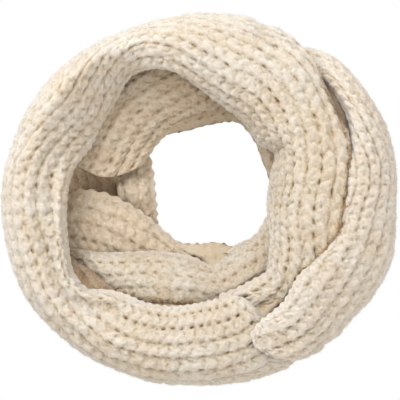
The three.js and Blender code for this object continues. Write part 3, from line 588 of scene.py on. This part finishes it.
def heap(name, backs, seed, step, shares):
    """The hidden layers: a closed ring that stays below the cloth lying over it."""
    sections = []
    for row in HIDDEN_LAYERS:
        hole, side = row["hole"], row["side"]
        points = [(hole + reach, height) for reach, height in LAYER_EDGE]
        for key, low in (("inner", 0.85), ("mid", 1), ("top", 1)):
            points.append((row[key][0], row[key][1] * low))
        points += [(side - reach, height) for reach, height in LAYER_SIDE]
        sections.append([on_ring(row["at"], point) for point in points])
    points, u, s, _, _ = surface(sections, step, shares, closed=True)
    verts, faces = [], []
    for back in backs:
        coarse = back[::4]
        rows, columns = coarse.shape[:2]
        start = len(verts)
        verts += [tuple(point) for point in coarse.reshape(-1, 3)]
        for i in range(rows - 1):
            for j in range(columns - 1):
                k = start + i * columns + j
                faces.append((k, k + 1, k + columns + 1, k + columns))
    tree = BVHTree.FromPolygons(verts, faces)
    room = points[..., 2].copy()
    for i in range(points.shape[0]):
        for j in range(points.shape[1]):
            x, y, z = points[i, j]
            if z < 15:
                continue
            hit = tree.ray_cast((x, y, 14), (0, 0, 1), 120)[0]
            if hit is not None and hit.z - 2 < z:
                room[i, j] = max(hit.z - 2, 14)
    points[..., 2] = np.minimum(room, evened(evened(room, 3, 0), 2, 1))
    normal = outward(points, 2, 2)
    height, openness = knit(u * 0.62, s, seed)
    lying = np.clip((points[..., 2] - 1) / FLAT_BELOW, 0, 1)
    inward = np.interp(s / s[:, -1:], (0.16, 0.3), (0, 1))
    outer = points + normal * ((height - SINK) * (0.42 + 0.25 * inward) * lying)[..., None]
    outer[..., 2] = np.maximum(outer[..., 2], 0)
    outer[-1] = outer[0]
    whole = np.concatenate([outer, outer[:, :1]], axis=1)
    turn = degrees_round(points)
    hollow = np.interp(turn, *zip(*HEAP_SHADE_AND_LIGHT))
    rim = np.interp(turn, *zip(*RIM_LIGHT))
    # Painted shade and light on the heap: its tone by angle and at the rim, and darker down where it rests.
    openness = np.clip(openness * lying * (rim + (hollow - rim) * inward), 0, 1)
    values = np.concatenate([openness, openness[:, :1]], axis=1)
    return grid_object(name, whole, values, ends_open=False, weld_rows=True)


# Materials


def linear(colour):
    """A colour written as six hex digits, as linear values for a shader."""
    parts = [int(colour[k : k + 2], 16) / 255 for k in (0, 2, 4)]
    return [v / 12.92 if v <= 0.04045 else ((v + 0.055) / 1.055) ** 2.4 for v in parts] + [1.0]


def node(tree, kind, settings=(), **links):
    """A new node: settings are its own properties or (socket, value), links are sockets."""
    made = tree.nodes.new(kind)
    for key, value in dict(settings).items():
        if isinstance(key, str) and hasattr(made, key):
            setattr(made, key, value)
        else:
            made.inputs[key].default_value = value
    for key, source in links.items():
        tree.links.new(source, made.inputs[key.replace("_", " ")])
    return made


def ramp(tree, source, stops):
    made = node(tree, "ShaderNodeValToRGB", Fac=source)
    elements = made.color_ramp.elements
    while len(elements) < len(stops):
        elements.new(0.5)
    for element, (place, colour) in zip(elements, stops):
        element.position = place
        element.color = linear(colour)
    return made.outputs["Color"]


def mixed(tree, share, below, above, blend="MIX"):
    made = tree.nodes.new("ShaderNodeMix")
    made.data_type = "RGBA"
    made.blend_type = blend
    for socket, value in ((0, share), (6, below), (7, above)):
        if isinstance(value, bpy.types.NodeSocket):
            tree.links.new(value, made.inputs[socket])
        else:
            made.inputs[socket].default_value = value
    return made.outputs[2]


def chenille(name, pit, groove, leg, crown, uneven=1.5):
    """Brushed chenille: four colours from the painted shade of the pits between stitches to the crowns."""
    material = bpy.data.materials.new(name)
    material.use_nodes = True
    tree = material.node_tree
    shader = tree.nodes["Principled BSDF"]
    where = node(tree, "ShaderNodeTexCoord").outputs["Object"]
    openness = node(tree, "ShaderNodeAttribute", {"attribute_name": "openness"}).outputs["Fac"]
    fluff = node(tree, "ShaderNodeTexNoise", {"Scale": 420, "Detail": 5, "Roughness": 0.65}, Vector=where)
    patch = node(tree, "ShaderNodeTexNoise", {"Scale": 34, "Detail": 3, "Roughness": 0.55}, Vector=where)
    speck = node(tree, "ShaderNodeTexNoise", {"Scale": 620, "Detail": 2, "Roughness": 0.5}, Vector=where)
    wobble = node(tree, "ShaderNodeMath", {"operation": "MULTIPLY_ADD", 1: uneven, 2: -uneven / 2})
    tree.links.new(fluff.outputs["Fac"], wobble.inputs[0])
    shade = node(tree, "ShaderNodeMath", {"operation": "ADD"})
    tree.links.new(openness, shade.inputs[0])
    tree.links.new(wobble.outputs[0], shade.inputs[1])
    # Painted shade: low openness picks the darker pit and groove browns, high openness the pale crowns.
    colour = ramp(tree, shade.outputs[0], [(0.0, pit), (0.3, groove), (0.6, leg), (0.95, crown)])
    warm = ramp(tree, patch.outputs["Fac"], [(0.35, "FFFFFF"), (0.7, "F9F1E6")])
    colour = mixed(tree, 1.0, colour, warm, "MULTIPLY")
    # Painted highlights: pale flecks over the pile, standing in for glints of light on the fibres.
    painted_glints = ramp(tree, speck.outputs["Fac"], [(0.62, "000000"), (0.82, "B0B0B0")])
    colour = mixed(tree, painted_glints, colour, linear("ECE7DE"))
    tree.links.new(colour, shader.inputs["Base Color"])
    shader.inputs["Roughness"].default_value = 0.95
    shader.inputs["Specular IOR Level"].default_value = 0.12
    shader.inputs["Subsurface Weight"].default_value = 0.4
    shader.inputs["Subsurface Radius"].default_value = (1.0, 0.78, 0.58)
    shader.inputs["Subsurface Scale"].default_value = 0.003
    shader.inputs["Sheen Weight"].default_value = 0.35
    shader.inputs["Sheen Roughness"].default_value = 0.6
    bump = node(tree, "ShaderNodeBump", {"Strength": 1.0, "Distance": 0.001}, Height=fluff.outputs["Fac"])
    tree.links.new(bump.outputs["Normal"], shader.inputs["Normal"])
    return material


def dress(piece, material, *nodes):
    piece.data.materials.append(material)
    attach(piece, "root")
    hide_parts(*nodes)


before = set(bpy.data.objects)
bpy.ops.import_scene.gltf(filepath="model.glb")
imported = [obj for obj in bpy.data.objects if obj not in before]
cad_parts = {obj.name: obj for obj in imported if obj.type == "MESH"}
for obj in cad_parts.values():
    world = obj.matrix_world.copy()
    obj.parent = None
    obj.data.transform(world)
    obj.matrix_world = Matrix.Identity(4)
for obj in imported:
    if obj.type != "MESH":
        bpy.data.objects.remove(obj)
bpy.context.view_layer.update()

IVORY = chenille("ivory_chenille", "8B6C49", "B9A88C", "C9BFAF", "D3CCC3")
# A paler copy of the same yarn for the last stretch: painted light, to match how that stretch is lit.
PALE_LIT = chenille("pale_lit_chenille", "8F7350", "BFB097", "CEC4B5", "D9D2C9")
SHADED = chenille("shaded_chenille", "7A5F41", "B39D80", "C9B9A3", "D6C9B6", uneven=1.0)
# A darker copy of the same yarn for the hidden heap: painted shade, as the heap shows only in crevices and pockets.
SHADED_HEAP = chenille("shaded_heap_chenille", "634E37", "8E775B", "B3A189", "C2B49F", uneven=0.7)

# flat is the cut of what shows of each stretch, across and along, in millimetres. shade darkens its
# tone at angles of the ring as painted shade, and fade is the length of its last end that lies
# in shadow, painted darker.
WIDE = spread((0.56, 84), (1.0, 32))
STRETCHES = [
    dict(name="long_stretch", rows=LONG_STRETCH, seed=11, step=1.4, shares=WIDE, back=16, relief=0.95,
         material=IVORY, spikes=48000, flat=(141, 960),
         shade=[(35, -0.13), (75, 0), (215, 0), (240, -0.07), (300, -0.07), (320, -0.13)],
         nodes=("outer_near", "outer_left", "outer_far", "crossing_right")),
    dict(name="last_stretch", rows=LAST_STRETCH, seed=31, step=1.15, shares=WIDE, back=16, relief=0.85,
         material=PALE_LIT, spikes=36000, flat=(118, 410), tucked=False, nodes=("outer_right",)),
    dict(name="inner_near_coil", rows=INNER_NEAR, seed=51, step=1.1, shares=spread((1, 52)), back=12,
         relief=0.62, material=IVORY, spikes=8000, flat=(46, 217), fade=28, shade=[(0, -0.16)],
         nodes=("inner_near",)),
    dict(name="inner_band_fold", rows=INNER_BAND, seed=71, step=1.1, shares=spread((1, 44)), back=10,
         relief=0.78, material=SHADED, spikes=6500, flat=(42, 134), nodes=("inner_band",)),
    dict(name="inner_far_coil", rows=INNER_FAR, seed=91, step=1.1, shares=spread((1, 76)), back=14,
         relief=0.9, material=SHADED, spikes=9500, flat=(74, 128), nodes=("inner_far",)),
    dict(name="inner_left_turn", rows=INNER_LEFT, seed=111, step=1.1, shares=spread((1, 36)), back=10,
         relief=0.9, material=SHADED, spikes=2000, flat=(29, 70), tucked=False, nodes=("inner_left",)),
]
backs, sheets = [], []
for row in STRETCHES:
    piece, inside, face = cloth(row)
    dress(piece, row["material"], *row["nodes"])
    pile = fluff(row["name"] + "_pile", face, row["spikes"], row["seed"])
    pile.data.materials.append(row["material"])
    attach(pile, "root")
    backs.append(inside)
    sheets.append((piece, pile, row["flat"]))
layers = heap("layered_heap", backs, 131, 1.6, spread((0.16, 44), (0.5, 50), (0.72, 14), (1, 10)))
dress(layers, SHADED_HEAP, "hidden_layers")

# Light, floor and camera


def area_light(name, energy, size, place, colour=(1, 1, 1)):
    light = bpy.data.lights.new(name, "AREA")
    light.energy = energy
    light.size = size
    light.color = colour
    lamp = bpy.data.objects.new(name, light)
    lamp.location = place
    lamp.rotation_euler = (-lamp.location).to_track_quat("-Z", "Y").to_euler()
    bpy.context.scene.collection.objects.link(lamp)


def pale_floor():
    bm = bmesh.new()
    bmesh.ops.create_grid(bm, x_segments=1, y_segments=1, size=4)
    mesh = bpy.data.meshes.new("floor")
    bm.to_mesh(mesh)
    bm.free()
    floor = bpy.data.objects.new("floor", mesh)
    bpy.context.scene.collection.objects.link(floor)
    floor.location.z = -0.0005
    material = bpy.data.materials.new("pale_floor")
    material.use_nodes = True
    shader = material.node_tree.nodes["Principled BSDF"]
    shader.inputs["Base Color"].default_value = linear("000000")
    shader.inputs["Roughness"].default_value = 1.0
    shader.inputs["Specular IOR Level"].default_value = 0.0
    shader.inputs["Emission Color"].default_value = (1, 1, 1, 1)
    shader.inputs["Emission Strength"].default_value = 1.0
    mesh.materials.append(material)


pale_floor()
area_light("key", 31, 1.1, (-0.75, 1.15, 1.4), (0.96, 1.0, 1.04))
area_light("fill", 6, 1.6, (1.2, -0.3, 1.7))
world = bpy.data.worlds.new("studio")
world.use_nodes = True
world.node_tree.nodes["Background"].inputs["Color"].default_value = (1.02, 0.975, 0.905, 1)
world.node_tree.nodes["Background"].inputs["Strength"].default_value = 0.91
bpy.context.scene.world = world

FRAME_WIDTH = 0.336
CAMERA_HEIGHT = 3.0
camera = bpy.data.cameras.new("above")
camera.sensor_width = 36
camera.lens = 36 * (CAMERA_HEIGHT - 0.05) / FRAME_WIDTH
camera.clip_end = 20
eye = bpy.data.objects.new("above", camera)
eye.location = (0, 0, CAMERA_HEIGHT)
bpy.context.scene.collection.objects.link(eye)
bpy.context.scene.camera = eye
bpy.context.scene.view_settings.view_transform = "Standard"
